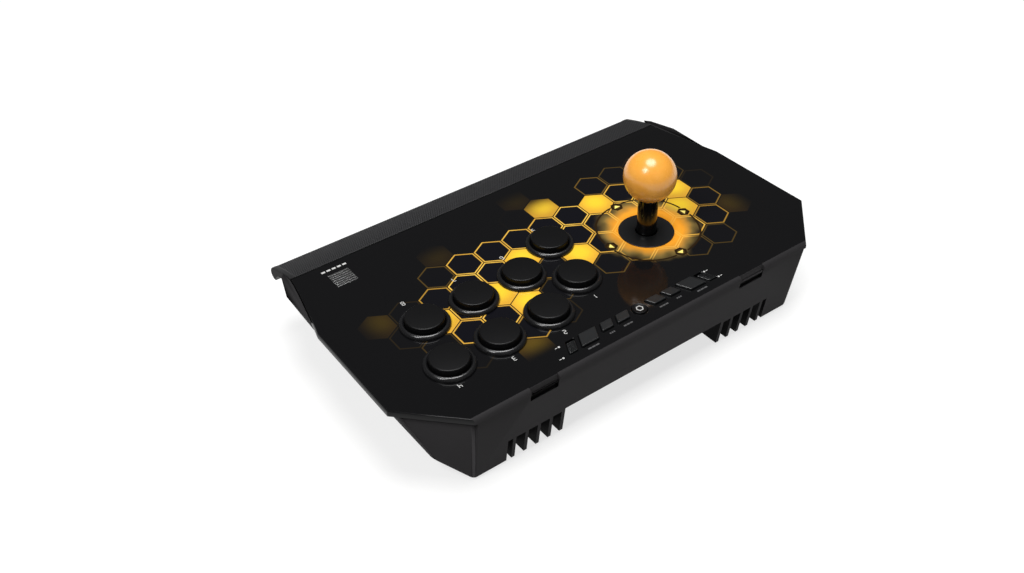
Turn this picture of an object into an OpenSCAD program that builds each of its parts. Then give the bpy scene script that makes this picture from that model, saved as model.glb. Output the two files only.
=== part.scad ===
// Arcade joystick panel: eight play buttons, a ball-top lever and a row of small controls in a low case.
// Origin: middle of the object at the height it stands on. +X is the player's right, +Y is the rear, +Z is up.
// Every module is drawn in panel coordinates: y = 0 at the rear edge of the panel, z = 0 on its top face.

/* [Case] */
// Overall width across the chamfered corners
case_w = 347.4; // [346:0.2:352]
// Overall depth from the rear edge to the nose of the grip strip
case_d = 213; // [212:0.5:216]
// Height from the underside of the case to the top of the panel
case_h = 57.5; // [57:0.5:62]
// Width of the straight part of the rear edge
rear_w = 275; // [268:1:282]
// How far the chamfered corners run forward
corner_d = 37; // [34:1:40]
// Wall thickness of the case shell
wall_t = 3; // [2.5:0.5:3.5]
// Thickness of the top panel
panel_t = 4.5; // [4.5:0.5:5]
// How far the rubber feet stand out below the case
foot_drop = 2; // [1.8:0.2:3]
// Half width of the open tunnel between the rear pods
tunnel_half_w = 67; // [60:1:67]
// Height of the rear wall above the tunnel
tunnel_z = 37; // [36:0.5:38]
// Depth of the tunnel
tunnel_d = 34; // [26:1:34]

/* [Play buttons] */
// Diameter of the panel hole for each play button
play_hole_d = 30; // [29.8:0.1:30.4]
// Diameter of the button collar
collar_d = 33.5; // [33:0.1:34]
// Diameter of the moving cap
cap_d = 25.6; // [24:0.1:26]
// Height of the cap above the panel
cap_rise = 7; // [5.4:0.1:7.4]
// Downward travel of the cap
cap_travel = 3; // [1:0.1:3]

/* [Joystick] */
// Lever position, to the player's right of the middle
stick_x = -61; // [-64:1:-60]
// Lever position in front of the rear edge
stick_back = 77; // [76:1:80]
// Diameter of the ball top
ball_d = 36; // [34:0.5:36]
// Height of the ball's centre above the panel
ball_rise = 45.5; // [44:0.5:50]
// Tilt limit of the lever each way, in degrees
tilt_max = 8.5; // [6:0.5:8.5]

/* [Small controls] */
// Distance of the control row in front of the rear edge
row_back = 17; // [16:0.5:18]
// Height of the small buttons above the panel
key_rise = 1.5; // [1.2:0.1:2]
// Diameter of the home button
home_d = 10; // [9:0.5:10.5]
// Travel of the two slide switches
slide_travel = 2; // [1:0.1:2.2]

/* [Hidden] */
$fn = 64;
fine = 96;
gap = 0.3;
eps = 0.01;

// Case planes: lean is the horizontal shift for each millimetre of height.
rear_lean = 0.139;
corner_lean = 0.122;
side_lean = 0.396;
side_inset = 3.5;
bevel_z = -41.3;
bevel_run = 18.4;
front_lean = 0.39;
front_edge = 20.6 - case_d;
case_top = -1;
inner_top = -panel_t;
half_w = case_w / 2;
half_rear = rear_w / 2;
corner_n = [corner_d, half_w - half_rear] / norm([corner_d, half_w - half_rear]);

// Panel outline
strip_y = 32.5 - case_d;
jog_y = strip_y + 59;
strip_half_w = 159.5;

// Vents in the pods
vent_ribs = [68.5, 77.8, 87.2, 96.6, 106];
rib_t = 2.5;
vent_end = 111;
vent_top = -38.5;
vent_back = -18;

// Rear slots and their catches
slot_x = 86.5;
slot_w = 21;
slot_top = -5.8;
slot_h = 4.4;

// Base, posts, screws and feet
base_t = 3;
base_half_w = 131.6;
base_top = -case_h + base_t;
post_r = 4;
post_spots = [[-125, -38], [104, -29], [22, -44], [-125, -145], [0, -150], [125, -145]];
foot_r = 9;
foot_spots = [[-112, -40], [112, -40], [-112, -150], [112, -150]];
board_posts = [[24, -152], [96, -152], [24, -128], [96, -128]];

// Play buttons: the rear row, then the front row at a fixed offset from it
rear_row = [[9.6, -65.7], [45.7, -49.2], [84.7, -48.3], [122.6, -47.8]];
row_step = [-8.7, -40.3];
play_spots = [for (p = rear_row) p, for (p = rear_row) p + row_step];
play_hole_r = play_hole_d / 2;
cap_r = cap_d / 2;
collar_r = collar_d / 2;
collar_h = 3.1;
barrel_r = play_hole_r - 0.3;
barrel_in = cap_r + 1;
stem_end = -16;
barrel_floor = stem_end - cap_travel - 1.5;
spring_top = -7;

// Joystick levels and radii
stick = [stick_x, -stick_back];
pivot_z = -17;
panel_hole_r = 12;
hub_r = 7;
sleeve_r = 6.9;
shaft_r = 4;
plate_z = -8.1;
plate_t = 1.6;
plate_size = [86, 54];
plate_bolts = [[-36, -21], [36, -21], [-36, 21], [36, 21]];
house_w = 56;
house_floor = -27;
house_legs = [[-24, -24], [24, -24], [-24, 24], [24, 24]];
leg_end = -41.1;
ring_r = 15.5;
ring_in = 11;
ring_h = 6;
pin_r = 2;
pin_fit = 0.05;
actuator_r = 9;
actuator_top = -32;
actuator_end = -40;
gate_top = -44.5;
gate_t = 3;
gate_half = shaft_r + 1.011 * (pivot_z - gate_top + gate_t) * tan(tilt_max) + 0.4;
shaft_end = -48.5;

// Small controls, slanted outwards towards the rear. All share one front line.
// Each option button: [x of its front edge's middle, from the middle of the row, width, depth]
row_mid = -1.9;
row_front = -4;
slant = 0.48;
key_half = [[12.2, 9.8, 6.8], [25.2, 9, 6.8], [40.4, 13.3, 10.3]];
keys = [for (i = [2:-1:0]) [-key_half[i][0], key_half[i][1], key_half[i][2]], for (k = key_half) k];
slide_x = 53.7;
knob = [6.4, 8.4];
slide_slot = [6.4 + 2 * gap, knob[1] + slide_travel + 2 * gap];
key_foot = -8.9;
control_board_z = -10.4;

// Moves panel coordinates to the object's own frame.
module placed() {
    translate([0, case_d / 2, case_h + foot_drop]) children();
}

function mirrored(half) = concat(
    half,
    [for (i = [len(half) - 1:-1:0]) [-half[i][0], half[i][1]]]
);

// Case side, rear and front planes as functions of height, moved in by an inset
function side_x(z) = z > bevel_z
    ? half_w - side_inset + side_lean * z
    : half_w - side_inset + side_lean * bevel_z
        - bevel_run * (bevel_z - z) / (bevel_z + case_h);
function case_half(z, inset) =
    let (
        out = side_x(z) - inset * 1.1,
        rear = rear_lean * z - inset,
        lean = corner_lean * z - inset,
        front = front_edge - front_lean * z + inset
    )
    [
        [half_rear + (lean - corner_n[1] * rear) / corner_n[0], rear],
        [out, min(rear, (lean - corner_n[0] * (out - half_rear)) / corner_n[1])],
        [out, front + 25.4],
        [out - 6.5, front + 5.7],
        [out - 11.5, front]
    ];

// Flat slab of the case outline at one height
module case_slab(z, inset) {
    translate([0, 0, z]) linear_extrude(eps) polygon(mirrored(case_half(z, inset)));
}

// Profile of the grip strip in y and z: the nose is an arc that curls under
nose_r = 4.8;
nose = [nose_r - case_d, -13.2];
strip_profile = concat(
    [[strip_y - 0.15, 0], [nose[0] - 0.8, -8]],
    [for (a = [100:20:260]) nose + nose_r * [cos(a), sin(a)]],
    [nose + [1.8, -4], nose + [3.8, -0.2], nose + [7.2, 2.7], [strip_y - 0.15, -5]]
);
// The space above this line is kept free of the case.
strip_room = [
    [strip_y + 0.6, 5], [-case_d - 20, 5], [-case_d - 20, -18.6], nose + [2.2, -5.4],
    nose + [4.4, -0.4], nose + [7.4, 2.3], [strip_y + 0.6, -5.3]
];

// Panel outline, grown by g
function panel_half(g) = [
    [half_rear + g * 0.41, g],
    [half_w + g, -corner_d + g * 0.41],
    [half_w - 1.4 + g, jog_y],
    for (t = [0.125:0.125:1])
        [strip_half_w + g + (half_w - 1.4 - strip_half_w) * pow(1 - t, 1.15), jog_y - t * (jog_y - strip_y + g)]
];

module at_each(spots) {
    for (p = spots) translate([p[0], p[1], 0]) children();
}

module tube(outer, inner, low, high) {
    translate([0, 0, low]) difference() {
        cylinder(r = outer, h = high - low, $fn = fine);
        translate([0, 0, -1]) cylinder(r = inner, h = high - low + 2, $fn = fine);
    }
}

module rod(r, low, high) {
    translate([0, 0, low]) cylinder(r = r, h = high - low, $fn = fine);
}

module slab(size, low, high) {
    translate([-size[0] / 2, -size[1] / 2, low]) cube([size[0], size[1], high - low]);
}

// Block with a parallelogram plan: its middle line leans outwards from x at the row's front line
module leaning(x, w, front, rear, low, high) {
    lean = sign(x) * slant;
    function mid(y) = x + lean * (y - row_front);
    translate([0, 0, low]) linear_extrude(high - low) polygon([
        [mid(front) - w / 2, front], [mid(front) + w / 2, front],
        [mid(rear) + w / 2, rear], [mid(rear) - w / 2, rear]
    ]);
}

// Facet that slopes from the panel edge down to each rear slot
module slot_facets() {
    for (s = [-1, 1])
        translate([s * slot_x - slot_w / 2, 0, 0]) rotate([90, 0, 90]) linear_extrude(slot_w)
            polygon([[-2.4, 0.5], [1, 0.5], [1, slot_top], [-1.15, slot_top], [-2.4, 0]]);
}

// Coil spring swept along a helix with closed end turns
module coil(r, wire, low, high, turns) {
    sides = 6;
    steps = 10 * turns;
    rise = high - low - 2 * wire;
    function level(t) = low + wire + rise * t;
    function ring(k) = [
        for (j = [0:sides - 1])
            let (
                a = 36 * k,
                b = 360 * j / sides,
                q = r + wire * cos(b)
            )
            [q * cos(a), q * sin(a), level(k / steps) + wire * sin(b)]
    ];
    rings = [for (k = [0:steps]) each ring(k)];
    last = steps * sides;
    skin = [
        for (k = [0:steps - 1], j = [0:sides - 1])
            let (a = k * sides + j, b = k * sides + (j + 1) % sides)
            each [[a, a + sides, b], [b, a + sides, b + sides]]
    ];
    ends = [
        [for (j = [0:sides - 1]) j],
        [for (j = [sides - 1:-1:0]) last + j]
    ];
    polyhedron(points = rings, faces = concat(skin, ends), convexity = 10);
}

// ---- Case ----

module top_panel() {
    color([0.07, 0.07, 0.08]) {
        difference() {
            translate([0, 0, -panel_t]) linear_extrude(panel_t) polygon(mirrored(panel_half(0)));
            at_each(play_spots) rod(play_hole_r, -10, 5);
            translate([stick[0], stick[1], 0]) rod(panel_hole_r, -10, 5);
            translate([row_mid, -row_back, 0]) {
                rod(home_d / 2 + gap, -10, 5);
                for (k = keys) leaning(k[0], k[1] + 2 * gap, row_front - gap, row_front + k[2] + gap, -10, 5);
                for (s = [-1, 1])
                    leaning(s * slide_x, slide_slot[0], row_front - gap, row_front - gap + slide_slot[1], -10, 5);
            }
            slot_facets();
        }
        // Screw posts down to the base plate
        at_each(post_spots) difference() {
            rod(post_r, base_top, -panel_t);
            rod(1.35, base_top - 1, base_top + 12);
        }
        // Pads for the lever's mounting plate
        translate([stick[0], stick[1], 0]) at_each(plate_bolts)
            tube(4, 1.35, plate_z + plate_t, -panel_t);
    }
}

module front_grip_strip() {
    color([0.22, 0.22, 0.23])
        translate([-strip_half_w, 0, 0]) rotate([90, 0, 90]) linear_extrude(2 * strip_half_w)
            polygon(strip_profile);
}

module main_case() {
    color([0.16, 0.16, 0.17]) difference() {
        hull() {
            case_slab(case_top - eps, 0);
            case_slab(bevel_z, 0);
            case_slab(-case_h, 0);
        }
        difference() {
            hull() {
                case_slab(inner_top + 1, wall_t);
                case_slab(bevel_z, wall_t);
                case_slab(-case_h - 1, wall_t);
            }
            // Walls around the tunnel and behind the vents
            translate([-tunnel_half_w - wall_t, -tunnel_d - wall_t, -80])
                cube([2 * (tunnel_half_w + wall_t), 60, 80 - tunnel_z + wall_t]);
            for (s = [-1, 1]) translate([s * (tunnel_half_w + vent_end) / 2, 0, 0])
                translate([0, vent_back - wall_t + 30, 0])
                    slab([vent_end - tunnel_half_w + 2 * wall_t, 60], -80, vent_top + wall_t);
            // Floor of the pods' outer corners, behind the base plate
            translate([0, vent_back - wall_t + 30, 0]) slab([case_w, 60], -80, base_top);
        }
        // Seat of the panel
        translate([0, 0, inner_top]) linear_extrude(10) polygon(mirrored(panel_half(gap)));
        // Room for the grip strip
        translate([-strip_half_w - gap, 0, 0]) rotate([90, 0, 90])
            linear_extrude(2 * (strip_half_w + gap))
                polygon(strip_room);
        // Tunnel between the pods
        translate([-tunnel_half_w, -tunnel_d, -80]) cube([2 * tunnel_half_w, 60, 80 - tunnel_z]);
        // Gaps between the vent ribs, open to the rear and to the floor
        for (s = [0, 1]) mirror([s, 0, 0]) for (i = [0:4]) {
            low = vent_ribs[i] + rib_t / 2;
            high = i < 4 ? vent_ribs[i + 1] - rib_t / 2 : vent_end;
            translate([low, vent_back, -80]) cube([high - low, 40, 80 + vent_top]);
        }
        // Rear slots
        for (s = [-1, 1]) translate([s * slot_x, 0, 0]) slab([slot_w, 20], slot_top - slot_h, slot_top);
        slot_facets();
        // Hole for the cable inlet
        translate([0, -tunnel_d, -47]) rotate([90, 0, 0]) cylinder(r = 5, h = 20, center = true, $fn = fine);
    }
}

module base_plate() {
    outline = [
        [tunnel_half_w + wall_t + 1, vent_back - wall_t - 0.5],
        [base_half_w, vent_back - wall_t - 0.5],
        [base_half_w, strip_y + 39.5],
        [base_half_w - 6.5, strip_y + 19.7],
        [base_half_w - 11.5, strip_y + 14.2]
    ];
    notch = [[tunnel_half_w + wall_t + 1, -tunnel_d - wall_t - 0.5]];
    color([0.13, 0.13, 0.14]) difference() {
        union() {
            translate([0, 0, -case_h]) linear_extrude(base_t) polygon(mirrored(concat(notch, outline)));
            at_each(board_posts) rod(3, base_top, base_top + 4);
        }
        at_each(post_spots) {
            rod(1.7, -80, 0);
            rod(3.2, -80, -case_h + 1.6);
        }
        at_each(foot_spots) rod(foot_r + 0.1, -80, -case_h + 1);
        at_each(board_posts) rod(1.1, base_top, base_top + 5);
    }
}

module case_screws() {
    color("silver") at_each(post_spots) difference() {
        union() {
            rod(2.9, -case_h + 0.1, -case_h + 1.6);
            rod(1.3, -case_h + 1.6, base_top + 9);
        }
        rod(1, -case_h, -case_h + 0.9);
    }
}

module rubber_feet() {
    color([0.05, 0.05, 0.05]) at_each(foot_spots) {
        translate([0, 0, -case_h - foot_drop]) cylinder(r1 = foot_r - 0.8, r2 = foot_r, h = foot_drop, $fn = fine);
        rod(foot_r, -case_h, -case_h + 1);
    }
}

module cable_inlet() {
    color([0.06, 0.06, 0.06]) translate([0, -tunnel_d, -47]) rotate([90, 0, 0]) rotate_extrude($fn = fine)
        polygon([[2.6, -3], [4, -3], [6.4, -1.2], [6.4, 0], [5, 0], [5, wall_t], [6, wall_t], [6, wall_t + 1.5],
            [2.6, wall_t + 1.5]]);
}

module rear_catches() {
    color([0.05, 0.05, 0.05]) for (s = [-1, 1]) translate([s * slot_x, 0, 0]) {
        translate([0, -6.5, 0]) slab([slot_w + 4, 3], slot_top - slot_h - 3, slot_top + 0.9);
        translate([0, -3.9, 0]) slab([slot_w - 2, 2.2], slot_top - slot_h + 0.2, slot_top - 0.2);
    }
}

// ---- Play buttons ----

module button_plunger(i) {
    color([0.07, 0.07, 0.07]) translate([play_spots[i - 1][0], play_spots[i - 1][1], 0])
        rotate_extrude($fn = fine) polygon([
            [0, cap_rise], [cap_r - 2.2, cap_rise - 0.25], [cap_r - 0.6, cap_rise - 0.8],
            [cap_r, cap_rise - 1.8], [cap_r, -2.4], [barrel_in - gap, -2.4], [barrel_in - gap, -4],
            [cap_r - 1.4, -4], [cap_r - 1.4, cap_rise - 2.6], [2.8, cap_rise - 2.6], [2.8, -5.4],
            [6, -5.4], [6, spring_top], [2.8, spring_top], [2.8, stem_end], [0, stem_end]
        ]);
}

module button_body(i) {
    color([0.1, 0.1, 0.1]) translate([play_spots[i - 1][0], play_spots[i - 1][1], 0]) {
        rotate_extrude($fn = fine) polygon([
            [cap_r + gap, -2], [cap_r + gap, 1.6], [cap_r + 1.2, collar_h], [collar_r - 1.4, collar_h],
            [collar_r - 0.4, collar_h - 0.5], [collar_r, 1.2], [collar_r, 0], [barrel_r, 0],
            [barrel_r, barrel_floor - 1.5], [0, barrel_floor - 1.5], [0, barrel_floor],
            [barrel_in, barrel_floor], [barrel_in, -2]
        ]);
        // Two snap tabs that hold the body under the panel
        for (s = [-1, 1]) translate([s * (barrel_r + 0.3), 0, 0]) slab([1.4, 6], -12, -panel_t - 0.1);
    }
}

module button_spring(i) {
    color("silver") translate([play_spots[i - 1][0], play_spots[i - 1][1], 0])
        coil(4.4, 0.4, barrel_floor + 0.05, spring_top - 0.05, 6);
}

module button_switches() {
    color([0.55, 0.1, 0.1]) at_each(play_spots) {
        slab([12.8, 6.4], barrel_floor - 8.2, barrel_floor - 1.6);
        for (s = [-1, 1]) translate([s * 4, 0, 0]) slab([0.6, 3], barrel_floor - 12.5, barrel_floor - 8.2);
    }
}

// ---- Joystick ----

module on_stick() {
    translate([stick[0], stick[1], 0]) children();
}

module ball_top() {
    color([0.93, 0.62, 0.1]) on_stick() difference() {
        translate([0, 0, ball_rise]) sphere(r = ball_d / 2, $fn = fine);
        rod(3.05, ball_rise - 30, ball_rise + 8);
        rod(sleeve_r - 1, ball_rise - 30, ball_rise - ball_d / 2 + 1.3);
    }
}

module stick_shaft() {
    color("silver") on_stick() difference() {
        union() {
            rod(shaft_r, shaft_end, ball_rise - ball_d / 2 + 1.2);
            rod(3, ball_rise - ball_d / 2, ball_rise + 7);
        }
        tube(6, 3, actuator_end - 1.3, actuator_end - 0.3);
    }
}

module shaft_sleeve() {
    color([0.04, 0.04, 0.04]) on_stick() rotate_extrude($fn = fine) polygon([
        [shaft_r + 0.1, -8.5], [hub_r, -8.5], [hub_r, 4], [sleeve_r, 5],
        [sleeve_r, ball_rise - ball_d / 2 + 0.6], [shaft_r + 0.1, ball_rise - ball_d / 2 + 0.6]
    ]);
}

module dust_washer() {
    color([0.13, 0.13, 0.14]) on_stick() rotate_extrude($fn = fine)
        polygon([[hub_r + 0.6, 0.3], [19.3, 0.3], [19.1, 0.8], [hub_r + 0.6, 1.2]]);
}

module under_washer() {
    color([0.1, 0.1, 0.1]) on_stick() tube(17, hub_r + 2.8, -5.9, -4.9);
}

module mounting_plate() {
    color("gainsboro") on_stick() difference() {
        slab(plate_size, plate_z, plate_z + plate_t);
        rod(13, -20, 0);
        at_each(plate_bolts) rod(1.8, -20, 0);
    }
}

module stick_housing() {
    color([0.12, 0.12, 0.13]) on_stick() difference() {
        union() {
            slab([house_w, house_w], house_floor, plate_z);
            at_each(house_legs) rod(3.6, leg_end, house_floor);
        }
        rod(13, -20, 0);
        rod(17, house_floor + 3, plate_z - 3);
        rod(10.5, -40, -20);
        // Bearings for the ring's trunnions
        translate([0, 0, pivot_z]) rotate([0, 90, 0])
            cylinder(r = pin_r + pin_fit, h = 46, center = true, $fn = fine);
        at_each(house_legs) rod(1.35, leg_end - 1, leg_end + 10);
    }
}

module gimbal_ring() {
    color("goldenrod") on_stick() translate([0, 0, pivot_z]) {
        difference() {
            tube(ring_r, ring_in, -ring_h / 2, ring_h / 2);
            rotate([90, 0, 0]) cylinder(r = pin_r + pin_fit, h = 60, center = true, $fn = fine);
        }
        for (s = [-1, 1]) translate([s * (ring_r - 0.5), 0, 0]) rotate([0, s * 90, 0])
            cylinder(r = pin_r, h = 7, $fn = fine);
    }
}

module pivot_block() {
    color("ivory") on_stick() translate([0, 0, pivot_z]) {
        difference() {
            union() {
                rod(9.5, -4, 4);
                rotate([90, 0, 0]) cylinder(r = pin_r, h = 30, center = true, $fn = fine);
            }
            rod(shaft_r + 0.05, -10, 10);
        }
    }
}

module stick_spring() {
    color("silver") on_stick() coil(6, 0.6, actuator_top + 0.05, pivot_z - 4.05, 5);
}

module actuator() {
    color([0.08, 0.08, 0.08]) on_stick() tube(actuator_r, shaft_r + 0.05, actuator_end, actuator_top);
}

module e_clip() {
    color("silver") on_stick() difference() {
        tube(6.5, 3.1, actuator_end - 1.2, actuator_end - 0.4);
        translate([5, 0, 0]) slab([8, 4], -60, 0);
    }
}

module restrictor_gate() {
    color([0.7, 0.7, 0.72]) on_stick() difference() {
        union() {
            slab([house_w, house_w], gate_top - gate_t, gate_top);
            at_each(house_legs) rod(3.6, gate_top, leg_end - 1.7);
        }
        slab([2 * gate_half, 2 * gate_half], -60, 0);
        at_each(house_legs) rod(1.7, -60, 0);
    }
}

module stick_switches() {
    color([0.1, 0.1, 0.1]) on_stick() for (a = [0:90:270]) rotate([0, 0, a])
        translate([16.4, 0, 0]) slab([6.4, 19.8], leg_end + 0.1, leg_end + 10);
}

module stick_board() {
    color([0.1, 0.35, 0.15]) on_stick() difference() {
        slab([house_w, house_w], leg_end - 1.6, leg_end);
        rod(13.5, -60, 0);
        at_each(house_legs) rod(1.7, -60, 0);
    }
}

module stick_screws() {
    color("silver") on_stick() {
        at_each(plate_bolts) {
            rod(1.3, plate_z, -panel_t);
            rod(3, plate_z - 1.8, plate_z);
        }
        at_each(house_legs) {
            rod(1.3, gate_top - gate_t, leg_end + 8);
            rod(3, gate_top - gate_t - 1.8, gate_top - gate_t);
        }
    }
}

// ---- Small controls and boards ----

module on_row() {
    translate([row_mid, -row_back, 0]) children();
}

module home_button() {
    color([0.1, 0.1, 0.1]) on_row() {
        rod(home_d / 2, -panel_t - gap, 1);
        rod(home_d / 2 + 1, -panel_t - 2, -panel_t - gap);
        rod(2, key_foot, -panel_t - 2);
    }
}

function key_mid(k) = [k[0] + sign(k[0]) * slant * k[2] / 2, row_front + k[2] / 2];

module option_button(i) {
    k = keys[i - 1];
    color([0.14, 0.14, 0.15]) on_row() {
        leaning(k[0], k[1], row_front, row_front + k[2], -panel_t - gap, key_rise);
        leaning(k[0], k[1] + 1, row_front - 1, row_front + k[2] + 1, -panel_t - 1.6, -panel_t - gap);
        at_each([key_mid(k)]) rod(1.6, key_foot, -panel_t - 1.6);
    }
}

module slide_knob(side) {
    rear = row_front - 2 * gap + slide_slot[1];
    front = rear - knob[1];
    low = -panel_t - 1.6;
    color([0.14, 0.14, 0.15]) on_row() difference() {
        union() {
            leaning(side * slide_x, knob[0], front, rear, -panel_t - gap, 1.1);
            leaning(side * slide_x, knob[0] + 1, front - 0.7, rear + 0.7, low, -panel_t - gap);
            translate([side * (slide_x + slant * knob[1] / 2), row_front + slide_travel + knob[1] / 2, 0])
                rod(1, key_foot, low);
        }
        for (y = [-2:1:2]) translate([side * (slide_x + 2), (front + rear) / 2 + y, 0])
            slab([knob[0] + 8, 0.4], 0.8, 2);
    }
}

module control_board() {
    color([0.1, 0.35, 0.15]) on_row() {
        slab([130, 15], control_board_z - 1.6, control_board_z);
        at_each([for (k = keys) key_mid(k), [0, 0]]) slab([3.4, 3.4], control_board_z, key_foot - 1);
        at_each([for (s = [-1, 1]) [s * (slide_x + 2), 0]]) slab([6, 8], control_board_z, key_foot - 0.4);
    }
}

module main_board() {
    color([0.1, 0.35, 0.15]) {
        difference() {
            translate([60, -140, 0]) slab([84, 34], base_top + 4, base_top + 5.6);
            at_each(board_posts) rod(1.2, base_top, 0);
        }
        translate([52, -138, 0]) slab([10, 10], base_top + 5.6, base_top + 7);
        translate([82, -140, 0]) slab([6, 20], base_top + 5.6, base_top + 11);
    }
}

placed() top_panel();
placed() front_grip_strip();
placed() main_case();
placed() base_plate();
placed() case_screws();
placed() rubber_feet();
placed() cable_inlet();
placed() rear_catches();
for (i = [1:8]) placed() button_plunger(i);
for (i = [1:8]) placed() button_body(i);
for (i = [1:8]) placed() button_spring(i);
placed() button_switches();
placed() ball_top();
placed() stick_shaft();
placed() shaft_sleeve();
placed() dust_washer();
placed() under_washer();
placed() mounting_plate();
placed() stick_housing();
placed() gimbal_ring();
placed() pivot_block();
placed() stick_spring();
placed() actuator();
placed() e_clip();
placed() restrictor_gate();
placed() stick_switches();
placed() stick_board();
placed() stick_screws();
placed() home_button();
for (i = [1:6]) placed() option_button(i);
placed() slide_knob(-1);  // slide_knob_left
placed() slide_knob(1);  // slide_knob_right
placed() control_board();
placed() main_board();
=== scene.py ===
"""Looks of an arcade joystick panel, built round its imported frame.

Shapes are made in millimetres in panel coordinates, as the part's source has them: x is the player's right,
y = 0 is the rear edge of the panel and z = 0 its top face. make_piece() moves them to the frame, in metres.
"""
import math

import bmesh
import bpy
from mathutils import Matrix, Vector
from mathutils.geometry import tessellate_polygon


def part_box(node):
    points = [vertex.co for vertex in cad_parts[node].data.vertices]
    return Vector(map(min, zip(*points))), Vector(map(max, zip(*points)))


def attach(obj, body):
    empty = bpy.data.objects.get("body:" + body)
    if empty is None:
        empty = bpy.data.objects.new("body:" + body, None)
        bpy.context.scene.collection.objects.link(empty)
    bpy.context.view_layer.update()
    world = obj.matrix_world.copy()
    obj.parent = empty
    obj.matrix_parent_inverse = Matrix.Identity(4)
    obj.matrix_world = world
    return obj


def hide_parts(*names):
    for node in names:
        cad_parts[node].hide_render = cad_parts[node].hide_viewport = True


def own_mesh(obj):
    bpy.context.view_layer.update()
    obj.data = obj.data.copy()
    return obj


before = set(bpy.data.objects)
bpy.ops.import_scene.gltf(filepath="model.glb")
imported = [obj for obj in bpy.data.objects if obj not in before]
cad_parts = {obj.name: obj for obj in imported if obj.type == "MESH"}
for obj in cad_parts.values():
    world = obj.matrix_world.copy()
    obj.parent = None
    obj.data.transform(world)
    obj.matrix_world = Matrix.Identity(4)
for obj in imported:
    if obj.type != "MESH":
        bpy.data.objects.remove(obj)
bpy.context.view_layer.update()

MM = 0.001
LARGE_FACE = 40
PANEL_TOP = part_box("top_panel")[1]
PANEL_BOTTOM = -4.5
CASE_BOTTOM = -57.5

# Panel outline and what is cut into it
CASE_D = 213
HALF_W = 173.7
HALF_REAR = 137.5
CORNER_D = 37
JOG_Y = -121.5
STRIP_Y = -180.5
STRIP_HALF_W = 159.5
REAR_ROUND = 2.9
SIDE_ROUND = 0.9
SLOT_X = 86.5
SLOT_W = 21
SLOT_DEPTH = 1.7

# Play buttons
PLAY_REAR = [(9.6, -65.7), (45.7, -49.2), (84.7, -48.3), (122.6, -47.8)]
ROW_STEP = (-8.7, -40.3)
PLAY_SPOTS = PLAY_REAR + [(x + ROW_STEP[0], y + ROW_STEP[1]) for x, y in PLAY_REAR]
PLAY_HOLE_R = 15
CAP_R = 12.8
CAP_TOP = 7
COLLAR_R = 16.75
COLLAR_TOP = 3.1
BARREL_R = 14.7
BARREL_FLOOR = -20.5

# Joystick
STICK = (-61, -77)
LEVER_HOLE_R = 12
BALL_R = 18
BALL_Z = 45.5
HUB_R = 7
SLEEVE_R = 6.9
SHAFT_R = 4

# Small controls: front-edge middle, width and depth, from the middle of the row
ROW = (-1.9, -17)
ROW_FRONT = -4
SLANT = 0.48
KEY_HALF = [(12.2, 9.8, 6.8), (25.2, 9, 6.8), (40.4, 13.3, 10.3)]
KEYS = [(-x, w, d) for x, w, d in reversed(KEY_HALF)] + KEY_HALF
KEY_TOP = 1.5
FLANGE_Z = PANEL_BOTTOM - 1.6
STEM_Z = -8.9
GAP = 0.3
HOME_R = 5
SLIDE_X = 53.7
KNOB_W, KNOB_D = 6.4, 8.4
SLIDE_TRAVEL = 2

# Ridges of the grip strip
RIDGE_PITCH = 1.6
RIDGE_SLANT = -0.69
RIDGE_H = 0.5
RIM_W = 3.4

# Honeycomb print
CELL = 22.8
ROW_GAP = CELL * math.sqrt(3) / 2
CELL_ORIGIN = (-54.8, -123.5)
CELL_SLANT = 0.0165
GLOW = (-64, -78.5)


# ---- Outlines ----

def arc(centre, radius, start, end, steps):
    """Points on an arc, angles in degrees."""
    angles = [math.radians(start + (end - start) * i / steps) for i in range(steps + 1)]
    return [(centre[0] + radius * math.cos(a), centre[1] + radius * math.sin(a)) for a in angles]


def circle(centre, radius, sides=72):
    return arc(centre, radius, 0, 360 - 360 / sides, sides - 1)


def rounded(points, radius, steps=4):
    """The closed polygon with its corners turned into arcs, of one radius or of one for each corner."""
    radii = radius if isinstance(radius, (list, tuple)) else [radius] * len(points)
    made = []
    for i, corner in enumerate(points):
        here = Vector(corner)
        before, after = Vector(points[i - 1]) - here, Vector(points[(i + 1) % len(points)]) - here
        half = before.angle(after) / 2
        if radii[i] <= 0 or half > math.radians(88):
            made.append(tuple(here))
            continue
        reach = min(radii[i] / math.tan(half), 0.48 * before.length, 0.48 * after.length)
        bend = reach * math.tan(half)
        middle = here + (before.normalized() + after.normalized()).normalized() * (bend / math.sin(half))
        first = here + before.normalized() * reach - middle
        last = here + after.normalized() * reach - middle
        turn = first.angle_signed(last)
        for k in range(steps + 1):
            a = -turn * k / steps
            made.append((
                middle.x + first.x * math.cos(a) - first.y * math.sin(a),
                middle.y + first.x * math.sin(a) + first.y * math.cos(a),
            ))
    return made


def leaning(x, width, front, rear, corner=0.7):
    """Parallelogram of the small controls, whose middle line leans outwards to the rear."""
    lean = math.copysign(SLANT, x)

    def middle(y):
        return ROW[0] + x + lean * (y - ROW_FRONT)

    half = width / 2
    corners = [(middle(front) - half, front), (middle(front) + half, front),
               (middle(rear) + half, rear), (middle(rear) - half, rear)]
    return rounded([(px, py + ROW[1]) for px, py in corners], corner, 4)


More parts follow.
